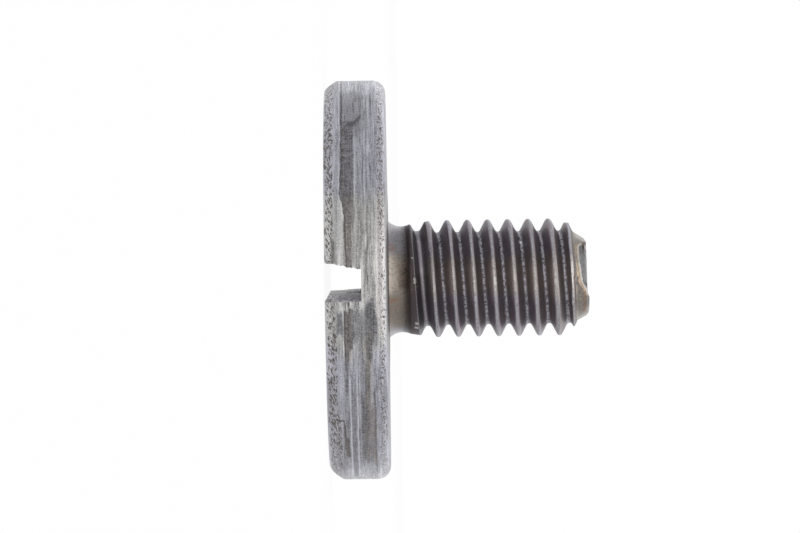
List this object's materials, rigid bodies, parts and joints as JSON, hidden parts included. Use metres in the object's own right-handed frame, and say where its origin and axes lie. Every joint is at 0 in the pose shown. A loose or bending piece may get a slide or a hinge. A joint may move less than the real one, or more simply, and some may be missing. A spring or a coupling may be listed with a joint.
{
  "type": "slotted pan head screw",
  "caption": "Steel screw with a wide flat slotted head, a hollowed plain neck and a short coarse thread with a bevelled end.",
  "frame": {"origin": "centre of the slotted face, on which the screw stands", "axes": "+Z along the shank from the head to the threaded end; the slot runs nearly along Y, turned 1.1 degrees about +Z"},
  "size_m": [0.0198, 0.0198, 0.0129],
  "materials": {
    "bare_steel": "worn bare steel, pitted along the edges of the rim, with brown stains at the neck and the end"
  },
  "bodies": {
    "root": {"screw": "bare_steel"}
  },
  "joints": []
}
